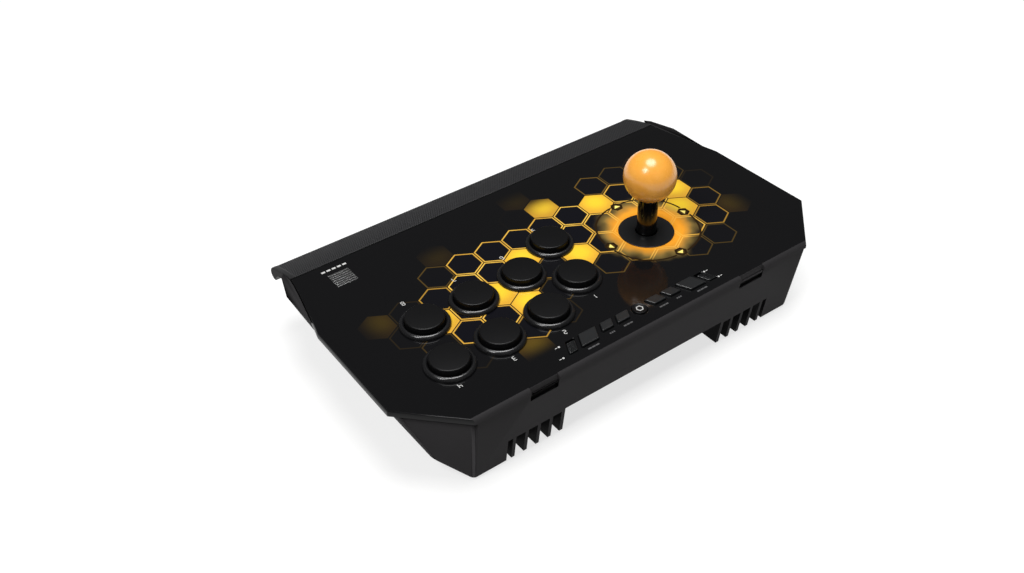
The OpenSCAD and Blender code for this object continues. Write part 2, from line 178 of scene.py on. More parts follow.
def inset(outline, distances):
    """The counter-clockwise outline with each edge moved to its left by its own distance."""
    made = []
    for i, corner in enumerate(outline):
        here = Vector(corner)
        before = (here - Vector(outline[i - 1])).normalized()
        after = (Vector(outline[(i + 1) % len(outline)]) - here).normalized()
        n1, n2 = Vector((-before.y, before.x)), Vector((-after.y, after.x))
        d1, d2 = distances[i - 1], distances[i]
        cross = n1.x * n2.y - n1.y * n2.x
        if abs(cross) < 0.02:
            made.append(here + (n1 + n2).normalized() * (d1 + d2) / 2)
        else:
            made.append(here + Vector(((d1 * n2.y - d2 * n1.y) / cross, (d2 * n1.x - d1 * n2.x) / cross)))
    return made


# ---- Meshes ----

def add_strips(bm, rings, closed):
    """Faces between rings of vertices. A ring of one vertex is a pole."""
    pairs = list(zip(rings, rings[1:]))
    if closed:
        pairs.append((rings[-1], rings[0]))
    for low, high in pairs:
        sides = max(len(low), len(high))
        for i in range(sides if sides > 1 else 0):
            j = (i + 1) % sides
            if len(low) == 1:
                bm.faces.new((low[0], high[j], high[i]))
            elif len(high) == 1:
                bm.faces.new((low[i], low[j], high[0]))
            else:
                bm.faces.new((low[i], low[j], high[j], high[i]))


def add_lathe(bm, profile, centre=(0, 0), sides=96):
    """A closed (radius, z) profile turned about the vertical line through centre."""
    rings = []
    for r, z in profile:
        count = sides if r > 1e-6 else 1
        rings.append([
            bm.verts.new((
                centre[0] + r * math.cos(2 * math.pi * i / count),
                centre[1] + r * math.sin(2 * math.pi * i / count),
                z,
            ))
            for i in range(count)
        ])
    add_strips(bm, rings, closed=True)


def add_plate(bm, outline, low, high, edge, foot=0.0, holes=(), edges=None, steps=5):
    """A flat plate with rounded upper edges, chamfered by foot below.
    edge is the height of the rounding, and edges its width along each side."""
    quarter = [math.pi / 2 * k / steps for k in range(steps + 1)]
    hole_edge, flat_rim = 0.3, 0.25
    loops = [(outline, edges or [edge] * len(outline), edge)]
    loops += [(hole[::-1], [hole_edge] * len(hole), hole_edge) for hole in holes]
    tops, bottoms = [], []
    for contour, widths, height in loops:
        levels = [([foot] * len(contour), low), ([0.0] * len(contour), low + max(foot, 0.01))]
        for a in quarter:
            levels.append(([w * (1 - math.cos(a)) for w in widths], high - height * (1 - math.sin(a))))
        levels.append(([w + flat_rim for w in widths], high))
        rings = [[bm.verts.new((p.x, p.y, z)) for p in inset(contour, d)] for d, z in levels]
        add_strips(bm, rings, closed=False)
        tops.append(rings[-1])
        bottoms.append(rings[0])
    for loop_set in (tops, bottoms):
        flat = [v for ring in loop_set for v in ring]
        for triangle in tessellate_polygon([[v.co for v in ring] for ring in loop_set]):
            bm.faces.new([flat[i] for i in triangle])


def add_box(bm, centre, size, low, high, edge=0.0):
    x, y, w, d = *centre, size[0] / 2, size[1] / 2
    corners = [(x - w, y - d), (x + w, y - d), (x + w, y + d), (x - w, y + d)]
    if edge:
        add_plate(bm, rounded(corners, edge * 1.5), low, high, edge)
        return
    rings = [[bm.verts.new((px, py, z)) for px, py in corners] for z in (low, high)]
    add_strips(bm, rings, closed=False)
    bm.faces.new(rings[0])
    bm.faces.new(rings[1])


def add_hexagon_ring(bm, centre, radius, width, low, high):
    rings = [
        [bm.verts.new((p[0], p[1], z)) for p in circle(centre, r, 6)]
        for r, z in ((radius, low), (radius, high), (radius - width, high), (radius - width, low))
    ]
    add_strips(bm, rings, closed=True)


def make_piece(bm, name, body, materials, nodes=(), sharp=40, choose=None):
    """Turns the bmesh into a piece that rides on body and stands for those CAD nodes.
    choose picks a face's material by its middle and normal, where there is more than one.
    Faces of more than LARGE_FACE square millimetres are shaded flat."""
    bmesh.ops.recalc_face_normals(bm, faces=bm.faces)
    materials = materials if isinstance(materials, list) else [materials]
    for face in bm.faces:
        face.smooth = face.calc_area() < LARGE_FACE
        if choose:
            face.material_index = choose(face.calc_center_median(), face.normal)
    to_frame = Matrix.Translation((0, PANEL_TOP.y, PANEL_TOP.z)) @ Matrix.Scale(MM, 4)
    bmesh.ops.transform(bm, matrix=to_frame, verts=bm.verts)
    mesh = bpy.data.meshes.new(name)
    bm.to_mesh(mesh)
    bm.free()
    mesh.set_sharp_from_angle(angle=math.radians(sharp))
    for material in materials:
        mesh.materials.append(material)
    piece = bpy.data.objects.new(name, mesh)
    bpy.context.scene.collection.objects.link(piece)
    even = piece.modifiers.new("even_shading", "WEIGHTED_NORMAL")
    even.keep_sharp = True
    even.weight = 100
    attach(piece, body)
    if nodes:
        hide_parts(*nodes)
    return piece


def copied(node):
    """The mesh of a CAD node in panel coordinates."""
    bm = bmesh.new()
    bm.from_mesh(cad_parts[node].data)
    to_panel = Matrix.Scale(1 / MM, 4) @ Matrix.Translation((0, -PANEL_TOP.y, -PANEL_TOP.z))
    bmesh.ops.transform(bm, matrix=to_panel, verts=bm.verts)
    return bm


def softened(node, body, materials, passes, choose):
    """A copy of a CAD node with its convex edges rounded.
    passes holds, for each round, the width and a test for the edges it takes."""
    bm = copied(node)
    bmesh.ops.remove_doubles(bm, verts=bm.verts, dist=0.01)
    bmesh.ops.dissolve_limit(bm, angle_limit=math.radians(1), verts=bm.verts, edges=bm.edges)
    for width, pick in passes:
        sharp = [
            edge for edge in bm.edges
            if len(edge.link_faces) == 2 and edge.is_convex
            and edge.calc_face_angle() > math.radians(12) and pick(edge)
        ]
        bmesh.ops.bevel(
            bm, geom=sharp, offset=width, offset_type="OFFSET", segments=3, profile=0.5,
            affect="EDGES", clamp_overlap=True,
        )
    return make_piece(bm, node + "_shell", body, materials, [node], sharp=50, choose=choose)


# ---- Materials ----

def srgb(text):
    """Linear colour of a hex code."""
    parts = [int(text[i:i + 2], 16) / 255 for i in (1, 3, 5)]
    return [c / 12.92 if c < 0.04045 else ((c + 0.055) / 1.055) ** 2.4 for c in parts] + [1.0]


class Field:
    """A number that varies over a surface, worked out by math nodes."""

    def __init__(self, tree, socket):
        self.tree, self.socket = tree, socket

    def math(self, operation, *others):
        node = self.tree.nodes.new("ShaderNodeMath")
        node.operation = operation
        for slot, value in zip(node.inputs, (self, *others)):
            if isinstance(value, Field):
                self.tree.links.new(value.socket, slot)
            else:
                slot.default_value = value
        return Field(self.tree, node.outputs[0])

    def __add__(self, other):
        return self.math("ADD", other)

    def __sub__(self, other):
        return self.math("SUBTRACT", other)

    def __mul__(self, other):
        return self.math("MULTIPLY", other)

    def abs(self):
        return self.math("ABSOLUTE")

    def least(self, other):
        return self.math("MINIMUM", other)

    def most(self, other):
        return self.math("MAXIMUM", other)

    def inverse(self):
        return self * -1 + 1

    def wrapped(self, period):
        """The distance to the nearest whole number of periods."""
        return self - (self * (1 / period)).math("ROUND") * period

    def ramp(self, low, high):
        """0 up to low, 1 from high on, and smooth between them."""
        node = self.tree.nodes.new("ShaderNodeMapRange")
        node.interpolation_type = "SMOOTHSTEP"
        self.tree.links.new(self.socket, node.inputs["Value"])
        node.inputs["From Min"].default_value = low
        node.inputs["From Max"].default_value = high
        return Field(self.tree, node.outputs["Result"])

    def below(self, level, soft):
        return self.ramp(level - soft, level + soft).inverse()


def length(x, y):
    return (x * x + y * y).math("SQRT")


def cell_distance(x, y):
    """Distance from a cell's middle, measured square to its nearest wall."""
    return x.abs().most(x.abs() * 0.5 + y.abs() * (math.sqrt(3) / 2))


class Finish:
    """A Principled material whose colour, roughness and relief are built up step by step."""

    def __init__(self, name, colour, roughness, **constants):
        self.material = bpy.data.materials.new(name)
        self.material.use_nodes = True
        self.tree = self.material.node_tree
        self.shader = next(n for n in self.tree.nodes if n.type == "BSDF_PRINCIPLED")
        self.shader.inputs["Base Color"].default_value = srgb(colour)
        self.shader.inputs["Roughness"].default_value = roughness
        self.colour = srgb(colour)
        self.height = None
        for key, value in constants.items():
            self.shader.inputs[key.replace("_", " ")].default_value = value
        place = self.tree.nodes.new("ShaderNodeTexCoord")
        self.place = place.outputs["Object"]
        split = self.tree.nodes.new("ShaderNodeSeparateXYZ")
        self.tree.links.new(self.place, split.inputs[0])
        shift = (0, -PANEL_TOP.y / MM, -PANEL_TOP.z / MM)
        self.x, self.y, self.z = (Field(self.tree, o) * (1 / MM) + s for o, s in zip(split.outputs, shift))

    def noise(self, size, detail=2.0, stretch=(1, 1, 1)):
        """Noise from 0 to 1 whose features are about size millimetres across."""
        mapping = self.tree.nodes.new("ShaderNodeMapping")
        self.tree.links.new(self.place, mapping.inputs["Vector"])
        mapping.inputs["Scale"].default_value = stretch
        node = self.tree.nodes.new("ShaderNodeTexNoise")
        node.inputs["Scale"].default_value = 1 / (size * MM)
        node.inputs["Detail"].default_value = detail
        self.tree.links.new(mapping.outputs["Vector"], node.inputs["Vector"])
        return Field(self.tree, node.outputs["Fac"])

    def paint(self, colour, mask):
        """Lays a colour over what is there, where mask is 1."""
        node = self.tree.nodes.new("ShaderNodeMix")
        node.data_type = "RGBA"
        node.clamp_factor = True
        for slot, value in ((node.inputs[6], self.colour), (node.inputs[7], colour)):
            if isinstance(value, str):
                value = srgb(value)
            if isinstance(value, list):
                slot.default_value = value
            else:
                self.tree.links.new(value, slot)
        self.tree.links.new(mask.socket, node.inputs[0])
        self.colour = node.outputs[2]
        self.tree.links.new(self.colour, self.shader.inputs["Base Color"])

    def roughen(self, field):
        """Sets the roughness to a field."""
        self.tree.links.new(field.socket, self.shader.inputs["Roughness"])

    def relief(self, field, depth):
        """Bump from a field of 0 to 1 that stands depth millimetres high."""
        node = self.tree.nodes.new("ShaderNodeBump")
        node.inputs["Strength"].default_value = 1.0
        node.inputs["Distance"].default_value = depth * MM
        self.tree.links.new(field.socket, node.inputs["Height"])
        if self.height is not None:
            self.tree.links.new(self.height, node.inputs["Normal"])
        self.height = node.outputs["Normal"]
        self.tree.links.new(self.height, self.shader.inputs["Normal"])


def moulded(name, colour, light, roughness, grain=0.5, depth=0.01, spread=0.06, **constants):
    """Moulded plastic or rubber: a fine grain, and a slow drift of colour and roughness."""
    finish = Finish(name, colour, roughness, **constants)
    drift = finish.noise(38, 3)
    finish.paint(light, drift.ramp(0.3, 0.8) * 0.5)
    speck = finish.noise(grain, 3)
    finish.roughen(drift * spread + speck * spread + (roughness - spread))
    finish.relief(speck, depth)
    return finish


def worn(finish, colour, share):
    """Handled edges: a paler tone where the surface is most convex."""
    geometry = finish.tree.nodes.new("ShaderNodeNewGeometry")
    edge = Field(finish.tree, geometry.outputs["Pointiness"]).ramp(0.52, 0.6)
    finish.paint(colour, edge * finish.noise(6, 4).ramp(0.35, 0.7) * share)
    return finish


def metal(name, colour, roughness, stretch):
    """Plated or brushed metal with fine lines along one direction."""
    finish = Finish(name, colour, roughness, Metallic=1.0)
    lines = finish.noise(0.8, 3, stretch)
    finish.roughen(lines * 0.18 + (roughness - 0.09))
    finish.relief(lines, 0.004)
    finish.paint("#8f8f8c", finish.noise(25, 3).ramp(0.5, 0.8) * 0.4)
    return finish.material


# Where the honeycomb shows, as soft ellipses: middle, half-widths, where the fading starts, strength
LIT = [
    ((-15, -114), (55, 25), 0.62, 1),
    ((30, -108), (62, 26), 0.62, 1),
    ((-88, -93), (38, 46), 0.47, 1),
    ((-35, -92), (40, 29), 0.62, 1),
    ((-66, -143), (8, 8), 0.9, 0.45),
    ((70, -77), (44, 38), 0.62, 1),
    ((122, -94), (16, 16), 0.8, 0.12),
]

# Filled cells by column and row of the lattice, with how strongly each is filled
FILLED = [
    (0, 0, 1), (3.5, 1, 1), (-2.5, 1, 0.95), (-2, 2, 1),
    (2, 2, 1), (5, 2, 0.95), (7, 2, 0.85), (4.5, 3, 1),
]

# Cells that fade out to one side: column, row, strength, axis, where it is gone and where it is full
FADING = [
    (1.5, -1, 0.75, "y", -158, -136),
    (8.5, 1, 0.03, "x", 156, 126),
    (5.5, -1, 0.02, "y", -157, -128),
    (5.5, 5, 0.085, "y", -19, -40),
    (-3.5, 3, 0.03, "x", -150, -120),
    (2, -2, 0.014, "y", -174, -150),
]


def panel_print_and_painted_sheen():
    """Glossy black sheet printed with the honeycomb and the ring round the lever, with a painted sheen on
    the filled cells.
    """
    finish = Finish("panel_print_and_painted_sheen", "#0e0e0f", 0.07, Specular_IOR_Level=0.33)
    y = finish.y
    x = finish.x - (y - CELL_ORIGIN[1]) * CELL_SLANT

    # The cell a point is in: rows alternate between two rectangular grids
    grids = []
    for shift_x, shift_y in ((0, 0), (CELL / 2, ROW_GAP)):
        across = (x - (CELL_ORIGIN[0] + shift_x)).wrapped(CELL)
        along = (y - (CELL_ORIGIN[1] + shift_y)).wrapped(2 * ROW_GAP)
        grids.append((cell_distance(across, along), x - across, y - along))
    (near_a, ax, ay), (near_b, bx, by) = grids
    first = (near_b - near_a).ramp(-0.001, 0.001)
    cell_x, cell_y = bx + (ax - bx) * first, by + (ay - by) * first
    wall = near_a.least(near_b) * -1 + CELL / 2

    # Each cell's outline is as bright as its place in the pattern
    bright = None
    for (mid_x, mid_y), (half_x, half_y), start, strength in LIT:
        spread = length((cell_x - mid_x) * (1 / half_x), (cell_y - mid_y) * (1 / half_y))
        lit = spread.ramp(start, 1.92 - start).inverse() * strength
        bright = lit if bright is None else bright.most(lit)
    line = wall.ramp(0.25, 0.5) * wall.ramp(1.15, 1.5).inverse()
    finish.paint("#0d0d12", wall.ramp(1.2, 1.8) * bright)
    finish.paint("#4a3a1a", line * bright.ramp(0.02, 0.35) * 0.8)
    finish.paint("#bb8e36", line * bright.ramp(0.3, 0.95))
    core = wall.ramp(0.5, 0.75) * wall.ramp(0.95, 1.25).inverse()
    finish.paint("#f5cf5c", core * bright.ramp(0.6, 1) * finish.noise(22, 1).ramp(0.3, 0.7) * 0.75)

    # Filled cells of the print, each with a painted sheen that makes it paler near its middle
    for column, row, share, *fade in FILLED + FADING:
        dx = x - (CELL_ORIGIN[0] + CELL * column)
        dy = y - (CELL_ORIGIN[1] + ROW_GAP * row)
        mask = cell_distance(dx, dy).below(CELL / 2 - 0.4, 0.2) * share
        if fade:
            axis, gone, full = fade
            sign = 1 if full > gone else -1
            mask = mask * ((x if axis == "x" else y) * sign).ramp(gone * sign, full * sign)
        finish.paint("#cd9a32", mask)
        # Painted sheen: a paler spot a little off each filled cell's middle
        finish.paint("#e3c030", mask * length(dx + 1, dy + 2.5).ramp(2, 14).inverse() * 0.9)

    # Ring of warm light round the lever, over which the cell walls show
    gx, gy = finish.x - GLOW[0], y - GLOW[1]
    radius = length(gx, gy)
    patch = finish.noise(13, 1).ramp(0.35, 0.7)
    glow = (radius + patch * 4).ramp(25, 41).inverse()
    walls = wall.ramp(0.3, 0.6) * wall.ramp(1.0, 1.5).inverse()
    finish.paint("#9c8244", glow * (walls.inverse() * 0.2 + 0.6))
    finish.paint("#ee9a22", (radius + patch * 2.5).ramp(21, 33).inverse() * (walls.inverse() * 0.25 + 0.75))
    finish.paint("#f0b54c", walls * (radius + patch * 2).ramp(26, 40).inverse() * 0.75)
    finish.paint("#f5a93a", (radius - 21).abs().ramp(0, 4.5).inverse() * 0.4)

    # Dark lines that join four direction marks, each a small cell with an arrow that points outwards
    reach = 33.2
    along, across = gx.abs().most(gy.abs()), gx.abs().least(gy.abs())
    bow = (radius - (reach + 1.4) - across * 0.06).abs()
    finish.paint("#241809", bow.below(0.7, 0.2) * across.ramp(4.6, 5.2))
    mark = cell_distance(along - reach, across)
    finish.paint("#241708", mark.below(4.1, 0.2))
    finish.paint("#4a3815", mark.below(2.3, 0.3) * 0.8)
    arrow = (along - (reach + 2.0) + across * 1.15).below(0, 0.2) * (along - (reach - 0.9)).ramp(-0.2, 0.2)
    finish.paint("#f2de78", arrow * mark.below(3.4, 0.2))

    # Gloss with a trace of handling and a faint ripple
    smear = finish.noise(24, 4, (1, 2.2, 1))
    finish.roughen(smear.ramp(0.45, 0.85) * 0.05 + finish.noise(0.8, 2) * 0.02 + 0.05)
    finish.relief(finish.noise(9, 1), 0.004)
    return finish.material


def knurled(name, colour, light):
    """Grip rubber with slanted ridges: painted shade darkens the grooves and a painted highlight lightens
    the ridges.
    """
    finish = moulded(name, colour, light, 0.5, 0.4, 0.01)
    run = (finish.y * -1 + STRIP_Y) * 1.04
    wave = (finish.x - run * RIDGE_SLANT).wrapped(RIDGE_PITCH).abs()
    inside = finish.x.abs().below(STRIP_HALF_W - RIM_W, 0.3)
    # Painted shade in the grooves, then a painted highlight on the ridges, so that the fine ridges show
    finish.paint("#060607", wave.below(0.36, 0.14) * inside)
    finish.paint("#353537", wave.ramp(0.42, 0.6) * inside * 0.8)
    return finish.material


def board_finish():
    """Green circuit board with tracks and pads."""
    finish = Finish("board", "#12502a", 0.35)
    across, along = finish.x.wrapped(2.4).abs(), finish.y.wrapped(3.1).abs()
    tracks = across.below(0.35, 0.1).most(along.below(0.35, 0.1))
    finish.paint("#1f7a40", tracks * finish.noise(7, 0).ramp(0.45, 0.5))
    pads = length(finish.x.wrapped(4.8), finish.y.wrapped(6.2)).below(0.7, 0.1)
    finish.paint("#c9b26a", pads)
    finish.relief(tracks, 0.02)
    return finish.material


def ball_finish():
    """Glossy amber ball: a deep colour under a clear skin, with faint swirls of the moulding and a painted
    dark reflection on its lower part.
    """
    finish = Finish(
        "ball_amber", "#e29a3a", 0.36, Coat_Weight=0.35, Coat_Roughness=0.18, Specular_IOR_Level=0.4,
    )
    swirl = finish.noise(14, 3, (1, 1, 0.5))
    finish.paint("#e8a950", swirl.ramp(0.35, 0.75) * 0.6)
    # Painted reflection: darker amber towards the bottom, where the dark panel below would be mirrored
    finish.paint("#b97a12", finish.z.ramp(27, 44).inverse() * 0.6)
    finish.roughen(finish.noise(5, 3) * 0.06 + 0.24)
    finish.relief(finish.noise(0.6, 2), 0.002)
    return finish.material


def base_finish():
    """Moulded black base with a coarse leather-like grain."""
    finish = moulded("base_plastic", "#1b1b1c", "#212122", 0.55, 0.9, 0.03)
    cells = finish.tree.nodes.new("ShaderNodeTexVoronoi")
    cells.feature = "DISTANCE_TO_EDGE"
    cells.inputs["Scale"].default_value = 900
    finish.tree.links.new(finish.place, cells.inputs["Vector"])
    finish.relief(Field(finish.tree, cells.outputs["Distance"]).ramp(0, 0.25), 0.03)
    return finish.material


PRINT = panel_print_and_painted_sheen()
CASE = moulded("case_satin", "#292829", "#2c2b2c", 0.6, 0.45, 0.006, 0.03, Specular_IOR_Level=0.04).material
# A darker copy of the case's satin for its hull-shaped sides: painted shade
SHADED_CASE = moulded("case_satin_painted_shade", "#0b0b0c", "#0e0e0e", 0.6, 0.45, 0.006, 0.03, Specular_IOR_Level=0.04).material
EDGE = moulded("edge_satin", "#0f0f10", "#121213", 0.28, 0.5, 0.002, 0.02, Specular_IOR_Level=0.15).material
KNURL = knurled("grip_rubber", "#161617", "#1a1a1b")
CAP = worn(
    moulded("button_satin", "#09090a", "#0b0b0c", 0.38, 0.35, 0.004, 0.04, Specular_IOR_Level=0.2),
    "#151516", 0.4,
).material
COLLAR = moulded("collar_gloss", "#141415", "#18181a", 0.26, 0.6, 0.002, 0.03).material
KEY = worn(moulded("key_satin", "#161718", "#1a1b1c", 0.34, 0.4, 0.005, 0.04), "#2a2a2c", 0.5).material
SLEEVE = moulded("sleeve_gloss", "#060607", "#0a0a0b", 0.12, 0.7, 0.002, 0.03).material
WASHER = moulded("washer_satin", "#151617", "#191a1b", 0.34, 0.5, 0.004, 0.04).material
INNER = moulded("inner_plastic", "#0c0c0d", "#101011", 0.6, 0.8, 0.02).material
# Near-black rear catches: painted shade, so that the slits behind the slots read as dark
SHADE = moulded(
    "catch_painted_shade", "#030303", "#040404", 0.8, 0.8, 0.01, 0.04, Specular_IOR_Level=0.05,
).material
GIMBAL = moulded("gimbal_plastic", "#c99a2e", "#d4a83c", 0.45, 0.8, 0.02).material
PIVOT = moulded("pivot_plastic", "#d8d3c0", "#e2decd", 0.45, 0.8, 0.02).material
SWITCH = moulded("switch_plastic", "#6b1616", "#7c1d1c", 0.45, 0.8, 0.02).material
RUBBER = moulded("rubber", "#0e0e0e", "#141414", 0.75, 0.6, 0.03).material
INK = moulded("white_ink", "#b9b9b7", "#a6a6a4", 0.4, 0.4, 0.01).material
DIM_INK = moulded("grey_ink", "#4c4c4d", "#444445", 0.4, 0.4, 0.01).material
STEEL = metal("steel", "#b4b4b2", 0.28, (1, 1, 6))
PLATED = metal("plated_steel", "#c6c4bd", 0.32, (1, 6, 1))
BADGE = metal("badge_metal", "#9c9c9c", 0.35, (6, 1, 1))
BOARD = board_finish()
AMBER = ball_finish()
BASE = base_finish()


# ---- Case and panel ----

def panel_outline():
    """The panel's outline from the right end of the grip strip round to its left end.
    The second list says how wide each edge is rounded. The sides taper to the strip, and the
    rear edge has a notch above each slot of the case."""
    side = HALF_W - 1.4
    steps, bend = 12, 1.15
    taper = [(STRIP_HALF_W + (side - STRIP_HALF_W) * (1 - t) ** bend, JOG_Y - t * (JOG_Y - STRIP_Y))
             for t in (k / steps for k in range(steps, 0, -1))]
    corners = taper + [(side, JOG_Y), (HALF_W, -CORNER_D), (HALF_REAR, 0)]
    notch = [(SLOT_X + SLOT_W / 2, 0), (SLOT_X + SLOT_W / 2, -SLOT_DEPTH),
             (SLOT_X - SLOT_W / 2, -SLOT_DEPTH), (SLOT_X - SLOT_W / 2, 0)]
    right = corners + notch
    left = [(-x, y) for x, y in reversed(right)]
    widths = [SIDE_ROUND] * (len(corners) - 1) + [REAR_ROUND, 0.1, 0.6, 0.1]
    return right + left, widths + [REAR_ROUND] + widths[::-1] + [SIDE_ROUND]


def make_panel():
    outline, widths = panel_outline()
    holes = [circle(spot, PLAY_HOLE_R) for spot in PLAY_SPOTS]
    holes.append(circle(STICK, LEVER_HOLE_R))
    holes.append(circle(ROW, HOME_R + GAP, 48))
    for x, w, d in KEYS:
        holes.append(leaning(x, w + 2 * GAP, ROW_FRONT - GAP, ROW_FRONT + d + GAP))
    front = ROW_FRONT - GAP
    rear = front + KNOB_D + SLIDE_TRAVEL + 2 * GAP
    for side in (-1, 1):
        holes.append(leaning(side * SLIDE_X, KNOB_W + 2 * GAP, front, rear))
    bm = bmesh.new()
    add_plate(bm, outline, PANEL_BOTTOM, 0, REAR_ROUND, foot=0.55, holes=holes, edges=widths, steps=7)

    def choose(middle, normal):
        """What lies flat is printed. The outer edge is as the case at the rear and satin elsewhere."""
        if abs(normal.z) > 0.995:
            return 0
        if middle.y > -REAR_ROUND - 0.1 and abs(middle.x) < HALF_REAR:
            return 1
        edge_from = 170 if JOG_Y < middle.y < -CORNER_D else 130
        return 2 if abs(middle.x) > edge_from or middle.y < STRIP_Y + 2 else 0

    make_piece(bm, "panel", "frame", [PRINT, CASE, EDGE], ["top_panel"], choose=choose)


def make_case():
    def upright(edge):
        """The tall edges of the chamfered rear corners."""
        a, b = (v.co for v in edge.verts)
        return abs(a.x) > 120 and min(a.y, b.y) > -50 and abs(a.z - b.z) > 30

    def outer(edge):
        """Edges of the outer walls and of the bottom rim, apart from very short ones."""
        a, b = (v.co for v in edge.verts)
        middle = (a + b) / 2
        rear_from, side_from, front_from = -24, 128, -150
        at_wall = middle.y > rear_from or abs(middle.x) > side_from or middle.y < front_from
        at_rim = middle.z < CASE_BOTTOM + 0.5
        return (at_wall or at_rim) and (a - b).length > 1.2 and middle.z < PANEL_BOTTOM - 0.2

    def choose(_, normal):
        """The hull-shaped sides take a darker copy of the case's satin: painted shade."""
        return 1 if abs(normal.x) > 0.5 and normal.y < 0.3 else 0

    softened("main_case", "frame", [CASE, SHADED_CASE], [(2.2, upright), (0.8, outer)], choose=choose)


make_panel()
make_case()


# ---- Grip strip ----

def make_strip():
    """Knurled strip that curls over the front edge: fine slanted ridges between two smooth end rims."""
    nose_r, nose_z = 4.8, -13.2
    nose_y = nose_r - CASE_D
    seam, drop = STRIP_Y - 0.15, 8
    step = 0.3
    top = [(seam, 0)]
    top += [(seam + (nose_y - 0.8 - STRIP_Y) * t, -drop * t ** 1.25) for t in (k / 10 for k in range(1, 11))]
    curl = arc((nose_y, nose_z), nose_r, 100, 260, 14)
    under = [(nose_y + 1.8, nose_z - 4), (nose_y + 3.8, nose_z - 0.2), (nose_y + 7.2, nose_z + 2.7),
             (seam, -5)]
    profile = top + curl + under
    ridged = len(top) + len(curl) - 3
    count = round(2 * STRIP_HALF_W / step)
    bm = bmesh.new()
    rings = []
    for i in range(count + 1):
        x = -STRIP_HALF_W + 2 * STRIP_HALF_W * i / count
        from_end = STRIP_HALF_W - abs(x)
        inner = min(1.0, max(0.0, from_end - RIM_W))
        end = max(0.0, 1 - from_end / 0.9)
        ring, run = [], 0.0
        for k, (y, z) in enumerate(profile):
            if k:
                run += math.dist(profile[k - 1], profile[k])
            on = inner if 0 < k < ridged else 0.0
            wave = 0.5 + 0.5 * math.cos(2 * math.pi * (x - RIDGE_SLANT * run) / RIDGE_PITCH)
            sink = on * (0.1 + RIDGE_H * wave) + end * end * 0.7 * (k < ridged + 3)
            before, after = profile[k - 1], profile[(k + 1) % len(profile)]
            normal = Vector((before[1] - after[1], after[0] - before[0])).normalized()
            ring.append(bm.verts.new((x, y + normal.x * sink, z + normal.y * sink)))
        rings.append(ring)
    add_strips(bm, rings, closed=False)
    bm.faces.new(rings[0])
    bm.faces.new(rings[-1])

    def choose(_, normal):
        """The smooth end faces have the case's finish."""
        return 1 if abs(normal.x) > 0.75 else 0

    make_piece(
        bm, "grip_strip", "frame", [KNURL, CASE], ["front_grip_strip"],
        sharp=60, choose=choose,
    )


make_strip()


# ---- Play buttons ----

def make_button(number, spot):
    """A slightly domed cap with its stem, and the collar and barrel that it moves in."""
    bm = bmesh.new()
    bend, rise = 0.8, 0.35
    crown = [((CAP_R - bend) * k / 6, CAP_TOP - rise * (k / 6) ** 2) for k in range(7)]
    shoulder = arc((CAP_R - bend, CAP_TOP - rise - bend), bend, 90, 0, 6)[1:]
    wall, roof = CAP_R - 1.4, CAP_TOP - 2.6
    stem_r, seat_r = 2.8, 6
    skirt = [(CAP_R, -2.4), (CAP_R + 0.7, -2.4), (CAP_R + 0.7, -4), (wall, -4), (wall, roof)]
    stem = [(stem_r, roof), (stem_r, -5.4), (seat_r, -5.4), (seat_r, -7), (stem_r, -7), (stem_r, -16),
            (0, -16)]
    add_lathe(bm, crown + shoulder + skirt + stem, spot)
    make_piece(bm, f"cap_{number}", f"play_button_{number}", CAP, [f"button_plunger_{number}"])

    bm = bmesh.new()
    ring_in, crest_r, rim = CAP_R + 0.3, 14.5, 0.35
    flank = [(crest_r + (COLLAR_R - crest_r) * math.sin(a), rim + (COLLAR_TOP - rim) * math.cos(a))
             for a in (math.pi / 2 * k / 9 for k in range(10))]
    lip = [(ring_in, COLLAR_TOP - 1.7), (ring_in + 0.25, COLLAR_TOP - 1.15),
           (ring_in + 0.8, COLLAR_TOP - 0.45), (ring_in + 1.25, COLLAR_TOP - 0.08)]
    outside = [(COLLAR_R - 0.1, 0.1), (COLLAR_R - 0.3, 0), (BARREL_R, 0), (BARREL_R, BARREL_FLOOR - 1.5)]
    inside = [(0, BARREL_FLOOR - 1.5), (0, BARREL_FLOOR), (CAP_R + 1, BARREL_FLOOR), (CAP_R + 1, -2)]
    add_lathe(bm, [(ring_in, -2)] + lip + flank + outside + inside, spot)
    for side in (-1, 1):
        add_box(bm, (spot[0] + side * (BARREL_R + 0.3), spot[1]), (1.4, 6), -12, PANEL_BOTTOM - 0.1, 0.2)
    make_piece(bm, f"collar_{number}", "frame", COLLAR, [f"button_body_{number}"])


def make_spring(number, spot):
    """Return spring, copied from its CAD node onto the frame."""
    node = f"button_spring_{number}"
    spring = make_piece(copied(node), f"spring_{number}", "frame", STEEL, [node])
    floor = (spot[0] * MM, PANEL_TOP.y + spot[1] * MM, PANEL_TOP.z + BARREL_FLOOR * MM)
    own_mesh(spring)


for number, spot in enumerate(PLAY_SPOTS, 1):
    make_button(number, spot)
    make_spring(number, spot)


# ---- Joystick ----

